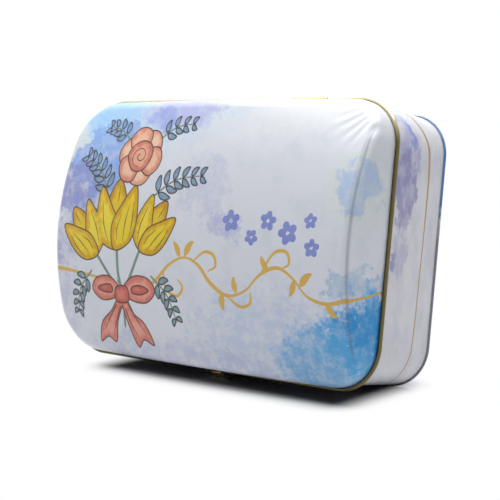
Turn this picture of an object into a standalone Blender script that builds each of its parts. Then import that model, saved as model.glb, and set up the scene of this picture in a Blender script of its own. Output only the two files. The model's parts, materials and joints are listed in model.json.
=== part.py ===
"""Hinged gift tin with a domed lid, standing on one long side as if on a shelf.

The tin is drawn in its own frame: X along its length, Y across its width with
the hinges at +Y, Z out through the lid, and Z = 0 at the middle of the lid's
rolled edge. A section is a list of (offset, height) pairs, where the offset is
counted outwards from the outside face of the body wall. Lengths are in metres.
"""

import math

import bmesh
import bpy
from mathutils import Matrix, Vector

# Plan of the body wall, outside
WALL_LENGTH = 0.1943
WALL_WIDTH = 0.1301
CORNER_RADIUS = 0.0198

# Tinplate and the room left between pieces
SHEET = 0.00035
SEAT_GAP = 0.0003

# Body: from the middle of the lid's rolled edge down to the middle of the base bead
BODY_DEPTH = 0.0431
NECK_HEIGHT = 0.0055
SAFE_EDGE_RADIUS = 0.0009
SEAM_WIDTH = 0.006
SEAM_RISE = 0.00025

# Base bead and bottom panel
BEAD_RADIUS = 0.00075
BEAD_END_DEG = 45
PANEL_RECESS = 0.003
PANEL_STEP = 0.0008
PANEL_STEP_INSET = 0.012
PANEL_EDGE_RADIUS = 0.0008

# Lid: it stands a step outside the body, with a rolled edge, leaning end walls and a vaulted top
LID_STEP = 0.001
CURL_RADIUS = 0.0011
CURL_END_DEG = 112
SKIRT_HEIGHT = 0.0035
SIDE_HEIGHT = 0.0138
CROWN_HEIGHT = 0.0271
END_DROP = 0.0008
CORNER_DROP = 0.008
END_LEAN = 0.12
SHOULDER_RADIUS = 0.0045

# Hinges: wire pins in the lid's rolled edge, held by straps on the body
HINGE_SPACING = 0.096
HINGE_WIDTH = 0.020
HINGE_PIN_RADIUS = 0.00045
HINGE_PIN_LENGTH = 0.029
STRAP_SHEET = 0.0004
STRAP_LENGTH = 0.014
NOTCH_CLEARANCE = 0.0005

# Clasp: a wire bail that swings in the rolled edge, over a hook on the body
WIRE_RADIUS = 0.00045
BAIL_WIDTH = 0.0108
BAIL_REACH = 0.0076
BAIL_BEND = 0.001
CATCH_SHEET = 0.0006
CATCH_WIDTH = 0.0078
CATCH_HEIGHT = 0.00555
CATCH_PLATE = 0.013
CATCH_LIP = 0.0026
CLASP_GAP = 0.0035

# Facets
CORNER_STEPS = 8
END_STEPS = 8
SIDE_STEPS = 6

HALF_LENGTH = WALL_LENGTH / 2
HALF_WIDTH = WALL_WIDTH / 2
CURL_LINE = CURL_RADIUS - SHEET / 2
CURL_OFFSET = LID_STEP + CURL_LINE - SHEET / 2
BEAD_OFFSET = BEAD_RADIUS - SHEET / 2 - SEAT_GAP - SHEET
PANEL_HEIGHT = -BODY_DEPTH - BEAD_RADIUS - SHEET / 2 + PANEL_RECESS + SHEET / 2
BAR_OFFSET = CATCH_HEIGHT + SEAT_GAP + WIRE_RADIUS


def arc(centre, radius, start_deg, end_deg, steps):
    """Points on a circle from one angle to another, both ends included."""
    points = []
    for step in range(steps + 1):
        angle = math.radians(start_deg + (end_deg - start_deg) * step / steps)
        points.append((centre[0] + radius * math.cos(angle), centre[1] + radius * math.sin(angle)))
    return points


def plan():
    """The body wall's outside line: (x, y, normal x, normal y), anticlockwise."""
    points = []
    corners = [(1, -1, 270), (1, 1, 0), (-1, 1, 90), (-1, -1, 180)]
    for index, (side_x, side_y, start_deg) in enumerate(corners):
        centre_x = side_x * (HALF_LENGTH - CORNER_RADIUS)
        centre_y = side_y * (HALF_WIDTH - CORNER_RADIUS)
        for step in range(CORNER_STEPS + 1):
            angle = math.radians(start_deg + 90 * step / CORNER_STEPS)
            normal = (math.cos(angle), math.sin(angle))
            points.append((centre_x + CORNER_RADIUS * normal[0], centre_y + CORNER_RADIUS * normal[1], *normal))
        last = points[-1]
        next_side_x, next_side_y, _ = corners[(index + 1) % 4]
        next_x = next_side_x * (HALF_LENGTH - CORNER_RADIUS) + CORNER_RADIUS * last[2]
        next_y = next_side_y * (HALF_WIDTH - CORNER_RADIUS) + CORNER_RADIUS * last[3]
        straight_steps = END_STEPS if index in (0, 2) else SIDE_STEPS
        for step in range(1, straight_steps):
            share = step / straight_steps
            x = last[0] + (next_x - last[0]) * share
            y = last[1] + (next_y - last[1]) * share
            points.append((x, y, last[2], last[3]))
    return points


PLAN = plan()


def ring(offset, height):
    """The plan moved outwards by an offset, at one height."""
    return [(x + nx * offset, y + ny * offset, height) for x, y, nx, ny in PLAN]


def sheet_faces(path, thickness):
    """The two faces of a sheet whose middle follows a path of (offset, height)."""
    left = []
    right = []
    for index, point in enumerate(path):
        before = Vector(path[max(index - 1, 0)])
        after = Vector(path[min(index + 1, len(path) - 1)])
        direction = (after - before).normalized()
        normal = Vector((-direction.y, direction.x)) * (thickness / 2)
        left.append((point[0] + normal.x, point[1] + normal.y))
        right.append((point[0] - normal.x, point[1] - normal.y))
    return left, right


def add_object(name, mesh, parent, origin, parent_origin):
    """An object whose mesh was drawn in the tin's frame, with its origin at a chosen point."""
    mesh.transform(Matrix.Translation(-Vector(origin)))
    piece = bpy.data.objects.new(name, mesh)
    piece.parent = parent
    piece.location = Vector(origin) - Vector(parent_origin)
    bpy.context.scene.collection.objects.link(piece)
    return piece


def finish_mesh(bm, name, smooth_deg=35):
    """A mesh from a closed bmesh, its faces turned outwards and its curves shaded smooth."""
    bmesh.ops.recalc_face_normals(bm, faces=bm.faces)
    mesh = bpy.data.meshes.new(name)
    bm.to_mesh(mesh)
    bm.free()
    mesh.shade_smooth()
    mesh.set_sharp_from_angle(angle=math.radians(smooth_deg))
    return mesh


def loft(name, rings, centres=None):
    """A solid through rings of equal length: a closed loop, or a pan with a centre point on each face."""
    bm = bmesh.new()
    rows = [[bm.verts.new(point) for point in points] for points in rings]
    count = len(rows[0])
    following = rows[1:] if centres else rows[1:] + rows[:1]
    for row, next_row in zip(rows, following):
        for index in range(count):
            after = (index + 1) % count
            bm.faces.new((row[index], row[after], next_row[after], next_row[index]))
    if centres:
        for row, centre in ((rows[0], centres[0]), (rows[-1], centres[1])):
            middle = bm.verts.new(centre)
            for index in range(count):
                bm.faces.new((row[index], row[(index + 1) % count], middle))
    return finish_mesh(bm, name)


def strip(name, path, thickness, width, centre_x, side):
    """A bent strip of sheet on the +Y or -Y wall, cut to a width along X."""
    left, right = sheet_faces(path, thickness)
    bm = bmesh.new()
    rows = []
    for x in (centre_x - width / 2, centre_x + width / 2):
        for face in (left, right):
            rows.append([bm.verts.new((x, side * (HALF_WIDTH + d), z)) for d, z in face])
    near_left, near_right, far_left, far_right = rows
    for index in range(len(path) - 1):
        after = index + 1
        bm.faces.new((near_left[index], near_left[after], near_right[after], near_right[index]))
        bm.faces.new((far_left[index], far_left[after], far_right[after], far_right[index]))
        bm.faces.new((near_left[index], near_left[after], far_left[after], far_left[index]))
        bm.faces.new((near_right[index], near_right[after], far_right[after], far_right[index]))
    for end in (0, -1):
        bm.faces.new((near_left[end], near_right[end], far_right[end], far_left[end]))
    return finish_mesh(bm, name)


def block(name, low, high):
    """A plain box between two corners."""
    bm = bmesh.new()
    bmesh.ops.create_cube(bm, size=1)
    size = Vector(high) - Vector(low)
    middle = (Vector(high) + Vector(low)) / 2
    bmesh.ops.scale(bm, vec=size, verts=bm.verts)
    bmesh.ops.translate(bm, vec=middle, verts=bm.verts)
    return finish_mesh(bm, name)


def add_boolean(piece, guide, operation):
    """A helper solid that cuts or joins a piece, and isn't part of the tin."""
    guide.hide_render = True
    guide.display_type = 'WIRE'
    modifier = piece.modifiers.new(guide.name, 'BOOLEAN')
    modifier.operation = operation
    modifier.object = guide
    modifier.solver = 'EXACT'


def finish_material(piece, name, color, metallic, roughness):
    """A Principled material of one finish on a piece."""
    material = bpy.data.materials.new(name)
    material.use_nodes = True
    shader = material.node_tree.nodes['Principled BSDF']
    shader.inputs['Base Color'].default_value = (*color, 1)
    shader.inputs['Metallic'].default_value = metallic
    shader.inputs['Roughness'].default_value = roughness
    piece.data.materials.append(material)


def crown(x, y):
    """Height of the vaulted lid: an arch across the width that falls away to the corners."""
    across = min(abs(y) / (HALF_WIDTH + LID_STEP), 1)
    along = min(abs(x) / (HALF_LENGTH + LID_STEP), 1)
    drop = (CROWN_HEIGHT - SIDE_HEIGHT) * across ** 2 + END_DROP * along ** 2
    return CROWN_HEIGHT - drop - CORNER_DROP * (across * along) ** 2


def lid_face(depth):
    """Rings of one face of the lid from its middle out to the skirt; depth is 0 outside, SHEET inside."""
    shoulder_steps = 4
    walls = []
    for x, y, nx, ny in PLAN:
        wall_top = crown(x, y) - SHOULDER_RADIUS
        walls.append((wall_top, END_LEAN * nx * nx * (wall_top - SKIRT_HEIGHT)))
    shoulder = []
    for step in range(shoulder_steps, -1, -1):
        turn = math.radians(90 * step / shoulder_steps)
        points = []
        for (x, y, nx, ny), (_, inset) in zip(PLAN, walls):
            reach = LID_STEP - inset - SHOULDER_RADIUS
            offset = reach + (SHOULDER_RADIUS - depth) * math.cos(turn)
            px = x + nx * offset
            py = y + ny * offset
            drop = SHOULDER_RADIUS * (1 - math.sin(turn)) + depth * math.sin(turn)
            points.append((px, py, crown(px, py) - drop))
        shoulder.append(points)
    wall = []
    for share in (0.66, 0.33):
        points = []
        for (x, y, nx, ny), (wall_top, inset) in zip(PLAN, walls):
            offset = LID_STEP - inset * share - depth
            height = SKIRT_HEIGHT + (wall_top - SKIRT_HEIGHT) * share
            points.append((x + nx * offset, y + ny * offset, height))
        wall.append(points)
    top = []
    for share in (0.22, 0.44, 0.64, 0.82):
        points = []
        for x, y, _ in shoulder[0]:
            points.append((x * share, y * share, crown(x * share, y * share) - depth))
        top.append(points)
    return top + shoulder + wall


def build_lid(parent, origin):
    """The drawn lid, with its edge rolled outwards and notched for the hinges and the clasp."""
    line = LID_STEP - SHEET / 2
    rim = [(line, SKIRT_HEIGHT), (line, SKIRT_HEIGHT / 2), (line, CURL_LINE / 3)]
    rim += arc((CURL_OFFSET, 0), CURL_LINE, 180, 360 + CURL_END_DEG, 11)
    left, right = sheet_faces(rim, SHEET)
    rings = lid_face(0)
    rings += [ring(d, z) for d, z in left]
    rings += [ring(d, z) for d, z in reversed(right)]
    rings += list(reversed(lid_face(SHEET)))
    mesh = loft('lid_shell', rings, [(0, 0, CROWN_HEIGHT), (0, 0, CROWN_HEIGHT - SHEET)])
    lid = add_object('lid_shell', mesh, parent, origin, origin)
    outer = CURL_OFFSET + CURL_RADIUS + SHEET
    below = -CURL_RADIUS - SHEET
    # The strap's roll needs a window through the skirt as well as through the rolled edge
    window_top = STRAP_ROLL + 2 * SEAT_GAP
    for side in (-1, 1):
        middle = side * HINGE_SPACING / 2
        half = HINGE_WIDTH / 2 + NOTCH_CLEARANCE
        low = (middle - half, HALF_WIDTH + LID_STEP - 2 * SHEET, below)
        high = (middle + half, HALF_WIDTH + outer, window_top)
        name = 'notch_hinge_left' if side < 0 else 'notch_hinge_right'
        guide = add_object(name, block(name, low, high), parent, origin, origin)
        add_boolean(lid, guide, 'DIFFERENCE')
    # Beside the short piece of rolled edge that holds the bail, a gap for each leg
    for side in (-1, 1):
        near = side * (BAIL_WIDTH / 2 - WIRE_RADIUS - SEAT_GAP)
        far = near + side * CLASP_GAP
        low = (min(near, far), -HALF_WIDTH - outer, below)
        high = (max(near, far), -HALF_WIDTH - LID_STEP - SHEET / 2, CURL_RADIUS + SHEET)
        name = 'notch_clasp_left' if side < 0 else 'notch_clasp_right'
        guide = add_object(name, block(name, low, high), parent, origin, origin)
        add_boolean(lid, guide, 'DIFFERENCE')
    finish_material(lid, 'printed_lid', (0.72, 0.76, 0.86), 0.1, 0.3)
    return lid


def build_body_wall(parent):
    """The wall: a flange in the base bead, and a neck in the lid that ends in a rolled safe edge."""
    half = SHEET / 2
    flange_reach = BEAD_RADIUS / 4
    path = [(BEAD_OFFSET, -BODY_DEPTH - flange_reach), (-half / 2, -BODY_DEPTH)]
    path += [(-half, -BODY_DEPTH + BEAD_RADIUS / 2), (-half, -BODY_DEPTH * 0.68), (-half, -BODY_DEPTH * 0.34)]
    path += [(-half, 0), (-half, NECK_HEIGHT / 2)]
    centre = (-half - SAFE_EDGE_RADIUS, NECK_HEIGHT - SAFE_EDGE_RADIUS)
    path += arc(centre, SAFE_EDGE_RADIUS, 0, 250, 7)
    left, right = sheet_faces(path, SHEET)
    rings = [ring(d, z) for d, z in left] + [ring(d, z) for d, z in reversed(right)]
    wall = add_object('body_wall', loft('body_wall', rings), parent, (0, 0, 0), (0, 0, 0))
    # The lock seam that closes the wall, between the hinges
    low = (-SEAM_WIDTH / 2, HALF_WIDTH - half, -BODY_DEPTH + 2 * BEAD_RADIUS)
    high = (SEAM_WIDTH / 2, HALF_WIDTH + SEAM_RISE, -2 * CURL_RADIUS)
    guide = add_object('side_seam', block('side_seam', low, high), parent, (0, 0, 0), (0, 0, 0))
    add_boolean(wall, guide, 'UNION')
    finish_material(wall, 'printed_wall', (0.72, 0.72, 0.82), 0.1, 0.32)


def build_bottom(parent):
    """The recessed bottom panel, its rim hooked round the wall's flange as a bead."""
    leg = BEAD_OFFSET - BEAD_RADIUS
    turn = (leg - PANEL_EDGE_RADIUS, PANEL_HEIGHT - PANEL_EDGE_RADIUS)
    step_top = PANEL_HEIGHT + PANEL_STEP
    path = [(-PANEL_STEP_INSET - 3 * PANEL_STEP, step_top), (-PANEL_STEP_INSET - PANEL_STEP, step_top)]
    path += [(-PANEL_STEP_INSET, PANEL_HEIGHT), (-PANEL_STEP_INSET / 2, PANEL_HEIGHT)]
    path += arc(turn, PANEL_EDGE_RADIUS, 90, 0, 3)
    path += arc((BEAD_OFFSET, -BODY_DEPTH), BEAD_RADIUS, 180, 360 + BEAD_END_DEG, 9)
    left, right = sheet_faces(path, SHEET)
    rings = [ring(d, z) for d, z in left] + [ring(d, z) for d, z in reversed(right)]
    centres = [(0, 0, step_top + SHEET / 2), (0, 0, step_top - SHEET / 2)]
    bottom = add_object('bottom_panel', loft('bottom_panel', rings, centres), parent, (0, 0, 0), (0, 0, 0))
    finish_material(bottom, 'printed_base', (0.5, 0.66, 0.85), 0.1, 0.32)


# The strap rolls round the pin, and both share the rolled edge's centre line
STRAP_ROLL_LINE = HINGE_PIN_RADIUS + SEAT_GAP + STRAP_SHEET / 2
STRAP_ROLL = STRAP_ROLL_LINE + STRAP_SHEET / 2


def build_hinges(body_parent, lid_parent, axis):
    """Two hinges: a strap on the body's back wall, hooked round a wire pin in the lid's edge."""
    plate = SEAM_RISE + SEAT_GAP + STRAP_SHEET / 2
    path = [(plate, -STRAP_LENGTH), (plate, -STRAP_LENGTH / 2), (plate, -STRAP_ROLL - 2 * STRAP_SHEET)]
    path += arc((CURL_OFFSET, 0), STRAP_ROLL_LINE, -100, 118, 9)
    for side in (-1, 1):
        middle = side * HINGE_SPACING / 2
        name = 'hinge_strap_left' if side < 0 else 'hinge_strap_right'
        mesh = strip(name, path, STRAP_SHEET, HINGE_WIDTH, middle, 1)
        strap = add_object(name, mesh, body_parent, (middle, HALF_WIDTH, 0), (0, 0, 0))
        finish_material(strap, name, (0.75, 0.66, 0.42), 0.9, 0.35)
        name = 'hinge_pin_left' if side < 0 else 'hinge_pin_right'
        bm = bmesh.new()
        bmesh.ops.create_cone(bm, cap_ends=True, segments=12, radius1=HINGE_PIN_RADIUS,
                              radius2=HINGE_PIN_RADIUS, depth=HINGE_PIN_LENGTH)
        bmesh.ops.rotate(bm, verts=bm.verts, matrix=Matrix.Rotation(math.pi / 2, 3, 'Y'))
        bmesh.ops.translate(bm, verts=bm.verts, vec=(middle, axis[1], axis[2]))
        pin = add_object(name, finish_mesh(bm, name, 40), lid_parent, (middle, axis[1], axis[2]), axis)
        finish_material(pin, name, (0.6, 0.6, 0.6), 1, 0.3)


def bail_side():
    """One leg of the bail in (offset, height): out from the pivot, then bowed in over the hook."""
    run = BAR_OFFSET - CURL_OFFSET
    bow_centre = (CURL_OFFSET + run * 0.4, -BAIL_REACH)
    bow_radius = run * 0.6
    return [(CURL_OFFSET, 0)], arc(bow_centre, bow_radius, 62, 0, 5)


def build_bail(parent, origin):
    """The clasp's wire: one closed loop of a pivot bar, two legs and a crossbar."""
    start, bow = bail_side()
    section = [Vector((0, -HALF_WIDTH - d, z)) for d, z in start + bow]
    half = BAIL_WIDTH / 2
    corners = [Vector((-half, 0, 0)) + section[0], Vector((half, 0, 0)) + section[0]]
    corners += [Vector((half, 0, 0)) + point for point in section[1:]]
    corners += [Vector((-half, 0, 0)) + point for point in reversed(section[1:])]
    route = []
    count = len(corners)
    for index, corner in enumerate(corners):
        to_before = corners[index - 1] - corner
        to_after = corners[(index + 1) % count] - corner
        turn = math.pi - to_before.angle(to_after)
        if turn < math.radians(60):
            route.append(corner)
            continue
        room = BAIL_BEND * math.tan(turn / 2)
        first = corner + to_before.normalized() * room
        last = corner + to_after.normalized() * room
        for step in range(5):
            share = step / 4
            blend = first.lerp(corner, share).lerp(corner.lerp(last, share), share)
            route.append(blend)
    curve = bpy.data.curves.new('clasp_bail', 'CURVE')
    curve.dimensions = '3D'
    curve.bevel_depth = WIRE_RADIUS
    curve.bevel_resolution = 2
    spline = curve.splines.new('POLY')
    spline.points.add(len(route) - 1)
    for point, place in zip(spline.points, route):
        point.co = (*(place - Vector(origin)), 1)
    spline.use_cyclic_u = True
    bail = bpy.data.objects.new('clasp_bail', curve)
    bail.parent = parent
    bpy.context.scene.collection.objects.link(bail)
    finish_material(bail, 'clasp_wire', (0.62, 0.62, 0.62), 1, 0.28)


def build_catch(parent):
    """The hook that the bail snaps over: a plate on the wall, rolled out and down to a lip."""
    half = CATCH_SHEET / 2
    plate = SEAT_GAP + half
    lip = CATCH_HEIGHT - half
    roll = (lip - plate) / 2
    path = [(plate, -BAIL_REACH - CATCH_PLATE), (plate, -BAIL_REACH - CATCH_PLATE / 2)]
    path += arc((plate + roll, -BAIL_REACH), roll, 180, 0, 8)
    path += [(lip, -BAIL_REACH - CATCH_LIP)]
    mesh = strip('clasp_catch', path, CATCH_SHEET, CATCH_WIDTH, 0, -1)
    catch = add_object('clasp_catch', mesh, parent, (0, -HALF_WIDTH, -BAIL_REACH), (0, 0, 0))
    finish_material(catch, 'clasp_catch', (0.75, 0.66, 0.42), 0.9, 0.35)


def standing_angle():
    """How far the tin leans back when it rests on its base bead and the bail's crossbar."""
    across = BAR_OFFSET - BEAD_OFFSET
    along = BAIL_REACH - BODY_DEPTH
    step = BEAD_RADIUS + SHEET / 2 - WIRE_RADIUS
    return math.atan2(along, across) + math.acos(step / math.hypot(across, along))


def add_axis(name, parent, place):
    """An empty that carries the pieces of one moving body."""
    axis = bpy.data.objects.new(name, None)
    axis.empty_display_size = 0.02
    axis.parent = parent
    axis.location = place
    bpy.context.scene.collection.objects.link(axis)
    return axis


def settle(stance):
    """Move the standing tin so that the floor is at Z = 0 and its box is centred on the origin."""
    bpy.context.view_layer.update()
    graph = bpy.context.evaluated_depsgraph_get()
    points = []
    for piece in bpy.context.scene.objects:
        if piece.type in ('MESH', 'CURVE') and not piece.hide_render:
            body = piece.evaluated_get(graph)
            mesh = body.to_mesh()
            points += [piece.matrix_world @ vertex.co for vertex in mesh.vertices]
            body.to_mesh_clear()
    low = [min(point[axis] for point in points) for axis in range(3)]
    high = [max(point[axis] for point in points) for axis in range(3)]
    stance.location = (-(low[0] + high[0]) / 2, -(low[1] + high[1]) / 2, -low[2])
    bpy.context.view_layer.update()


def main():
    for old in list(bpy.data.objects):
        bpy.data.objects.remove(old, do_unlink=True)
    hinge_line = (0, HALF_WIDTH + CURL_OFFSET, 0)
    bail_line = (0, -HALF_WIDTH - CURL_OFFSET, 0)
    stance = add_axis('tin_stance', None, (0, 0, 0))
    stance.rotation_euler = (math.pi / 2 - standing_angle(), 0, 0)
    lid_axis = add_axis('lid_hinge_axis', stance, hinge_line)
    bail_axis = add_axis('bail_pivot_axis', lid_axis, Vector(bail_line) - Vector(hinge_line))
    build_body_wall(stance)
    build_bottom(stance)
    build_catch(stance)
    build_hinges(stance, lid_axis, hinge_line)
    build_lid(lid_axis, hinge_line)
    build_bail(bail_axis, bail_line)
    settle(stance)


main()
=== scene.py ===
import json
import math
from collections import defaultdict

import bmesh
import bpy
import numpy as np
from mathutils import Matrix, Vector


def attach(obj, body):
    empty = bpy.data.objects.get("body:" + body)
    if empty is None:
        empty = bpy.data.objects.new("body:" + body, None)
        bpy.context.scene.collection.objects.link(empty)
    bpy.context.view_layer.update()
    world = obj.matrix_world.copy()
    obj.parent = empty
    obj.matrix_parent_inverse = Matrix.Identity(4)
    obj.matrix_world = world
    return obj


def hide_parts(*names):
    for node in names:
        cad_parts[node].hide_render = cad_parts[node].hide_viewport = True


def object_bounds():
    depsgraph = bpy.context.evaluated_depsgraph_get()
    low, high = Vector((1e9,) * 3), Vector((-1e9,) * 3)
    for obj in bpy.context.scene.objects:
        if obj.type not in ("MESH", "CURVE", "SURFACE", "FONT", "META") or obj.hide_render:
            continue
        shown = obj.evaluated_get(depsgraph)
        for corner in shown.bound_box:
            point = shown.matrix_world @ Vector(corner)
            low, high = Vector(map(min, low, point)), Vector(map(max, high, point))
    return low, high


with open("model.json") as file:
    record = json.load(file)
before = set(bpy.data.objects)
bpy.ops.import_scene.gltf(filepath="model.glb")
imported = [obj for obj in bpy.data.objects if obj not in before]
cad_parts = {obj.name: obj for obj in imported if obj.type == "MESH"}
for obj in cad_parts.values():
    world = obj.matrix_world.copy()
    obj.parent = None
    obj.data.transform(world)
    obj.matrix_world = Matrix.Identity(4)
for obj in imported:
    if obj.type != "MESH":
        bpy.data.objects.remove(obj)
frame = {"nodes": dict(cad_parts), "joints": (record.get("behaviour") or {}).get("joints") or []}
cadLow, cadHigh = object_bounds()

# The tin's own frame: x along its length, y across it to the hinges, z out through the lid, z = 0 at the
# middle of the rolled edge. Every shape below is drawn in it, in millimetres.
jointAt = {joint["name"]: Vector(joint["pos_m"]) for joint in frame["joints"]}
hingeLine = jointAt["lid_hinge"]
claspLine = jointAt["clasp_swing"]
tinY = (hingeLine - claspLine).normalized()
tinX = Vector((1, 0, 0))
tinZ = tinX.cross(tinY)
mm = 0.001
tinTurn = Matrix((tinX, tinY, tinZ)).transposed()
tinMiddle = (hingeLine + claspLine) / 2
tinPose = Matrix.Translation(tinMiddle) @ tinTurn.to_4x4() @ Matrix.Scale(mm, 4)

# camera and lamps
camera = {
    "place": (0.41314, -0.47887, 0.13571),
    "turnDegrees": (83.4537, 0.9106, 40.2022),
    "lens": 90.564, "sensor": 36,
}
scene = bpy.context.scene
cameraData = bpy.data.cameras.new("camera")
cameraData.lens = camera["lens"]
cameraData.sensor_width = camera["sensor"]
cameraObject = bpy.data.objects.new("camera", cameraData)
cameraObject.location = camera["place"]
cameraObject.rotation_euler = [math.radians(turn) for turn in camera["turnDegrees"]]
scene.collection.objects.link(cameraObject)
scene.camera = cameraObject
scene.view_settings.view_transform = "Standard"

lamps = {
    "overhead": {"place": (-0.05, 0.05, 1.0), "aim": (-0.05, 0, 0), "size": (1.3, 1.1), "watts": 19.8},
    "leftFill": {"place": (-1.3, -0.5, 0.26), "aim": (0, 0, 0.05), "size": (0.8, 0.4), "watts": 1.3},
}
for lampName, lamp in lamps.items():
    lampData = bpy.data.lights.new(lampName, "AREA")
    lampData.shape = "RECTANGLE"
    lampData.size, lampData.size_y = lamp["size"]
    lampData.energy = lamp["watts"]
    lampObject = bpy.data.objects.new(lampName, lampData)
    lampObject.location = lamp["place"]
    fromAim = Vector(lamp["place"]) - Vector(lamp["aim"])
    lampObject.rotation_euler = fromAim.to_track_quat("Z", "Y").to_euler()
    lampObject.visible_camera = False
    scene.collection.objects.link(lampObject)
print("camera and lamps stand")


class Sock:
    # one output socket; sums on it add Math nodes to its tree
    def __init__(self, tree, link):
        self.tree = tree
        self.link = link

    def sum(self, operation, *others):
        values = dict(enumerate((self, *others)))
        return self.tree.node("ShaderNodeMath", {"operation": operation}, values)

    def __add__(self, other):
        return self.sum("ADD", other)

    def __mul__(self, other):
        return self.sum("MULTIPLY", other)

    def __sub__(self, other):
        return self.sum("SUBTRACT", other)

    def __rsub__(self, other):
        return self.tree.node("ShaderNodeMath", {"operation": "SUBTRACT"}, {0: other, 1: self})

    def __abs__(self):
        return self.sum("ABSOLUTE")

    def __or__(self, other):
        return self.sum("MAXIMUM", other)

    def __and__(self, other):
        return self.sum("MINIMUM", other)

    __radd__ = __add__
    __rmul__ = __mul__


def tint(code):
    # a colour written as on screen, turned into the linear values that shaders take
    parts = [int(code[i:i + 2], 16) / 255 for i in (1, 3, 5)]
    return tuple(p / 12.92 if p <= 0.04045 else ((p + 0.055) / 1.055) ** 2.4 for p in parts) + (1,)


class Tree:
    # a node tree, and the one way to add a node to it
    def __init__(self, tree):
        self.tree = tree

    def feed(self, socket, value):
        # takes another node's output, a plain value or a colour's code
        if isinstance(value, Sock):
            self.tree.links.new(value.link, socket)
        else:
            socket.default_value = tint(value) if isinstance(value, str) else value

    def node(self, kind, settings=None, values=None, output=0):
        # gives back one output of the new node, or each of several
        made = self.tree.nodes.new(kind)
        for key, value in (settings or {}).items():
            setattr(made, key, value)
        for key, value in (values or {}).items():
            self.feed(made.inputs[key], value)
        if isinstance(output, tuple):
            return [Sock(self, made.outputs[name]) for name in output]
        return Sock(self, made.outputs[output]) if made.outputs else None

    def clearRays(self):
        # 1 for the rays that see pure white: the camera's own, mirrored ones and those that pass through
        rays = ("Is Camera Ray", "Is Glossy Ray", "Is Transmission Ray")
        straight, mirrored, through = self.node("ShaderNodeLightPath", output=rays)
        return straight | mirrored | through

    def either(self, share, first, second):
        # one shader where share is 0, the other where it is 1
        return self.node("ShaderNodeMixShader", values={0: share, 1: first, 2: second})


class Finish(Tree):
    # a material with its Principled shader, and short ways to shade it
    def __init__(self, name, **settings):
        self.material = bpy.data.materials.new(name)
        self.material.use_nodes = True
        super().__init__(self.material.node_tree)
        self.shader = self.tree.nodes["Principled BSDF"]
        for socket, value in settings.items():
            self.feed(self.shader.inputs[socket.replace("_", " ")], value)

    def place(self):
        # the point on the surface in the tin's own millimetres
        raw = self.node("ShaderNodeTexCoord", output="Object")
        values = {"Vector": raw, "Location": tinMiddle, "Rotation": tinTurn.to_euler(),
                  "Scale": (mm, mm, mm)}
        return self.node("ShaderNodeMapping", {"vector_type": "TEXTURE"}, values)

    def vectorSum(self, operation, *sides, output=0):
        return self.node("ShaderNodeVectorMath", {"operation": operation}, dict(enumerate(sides)), output)

    def split(self, vector):
        return self.node("ShaderNodeSeparateXYZ", values={0: vector}, output=("X", "Y", "Z"))

    def ragged(self, place, blotch, shift):
        # the place pushed about by noise, so that the edges of blotches run out unevenly
        cloud = self.noise(place, blotch, 7.0, 0.68, output="Color")
        off = self.vectorSum("SUBTRACT", cloud, (0.5, 0.5, 0.5))
        return self.vectorSum("ADD", place, self.vectorSum("MULTIPLY", off, (shift, shift, shift)))

    def noise(self, place, grainSize, detail=3.0, roughness=0.5, stretch=None, output=0):
        # grainSize is the width of one blotch, in millimetres
        if stretch:
            place = self.vectorSum("MULTIPLY", place, stretch)
        values = {"Vector": place, "Scale": 1 / grainSize, "Detail": detail, "Roughness": roughness}
        return self.node("ShaderNodeTexNoise", {"noise_dimensions": "3D"}, values, output)

    def fade(self, value, start, end):
        # 0 at start, 1 at end, soft between
        rises = float(end > start)
        values = {"Value": value, "From Min": min(start, end), "From Max": max(start, end),
                  "To Min": 1 - rises, "To Max": rises}
        return self.node("ShaderNodeMapRange", {"interpolation_type": "SMOOTHSTEP"}, values)

    def blend(self, under, over, share):
        # of a colour mix, inputs 6 and 7 and output 2 are the ones that carry colour
        return self.node("ShaderNodeMix", {"data_type": "RGBA"}, {0: share, 6: under, 7: over}, 2)

    def near(self, place, centre, reach):
        # 0 at the centre of a blotch, 1 at its edge
        off = self.vectorSum("SUBTRACT", place, centre)
        scaled = self.vectorSum("MULTIPLY", off, tuple(1 / r for r in reach))
        return self.vectorSum("LENGTH", scaled, output="Value")

    def attribute(self, name, output="Fac"):
        return self.node("ShaderNodeAttribute", {"attribute_name": name}, output=output)

    def bump(self, height, depth):
        values = {"Height": height, "Distance": depth, "Strength": 1.0}
        self.feed(self.shader.inputs["Normal"], self.node("ShaderNodeBump", values=values))

    def paint(self, colour, roughness):
        self.feed(self.shader.inputs["Base Color"], colour)
        self.feed(self.shader.inputs["Roughness"], roughness)


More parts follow.
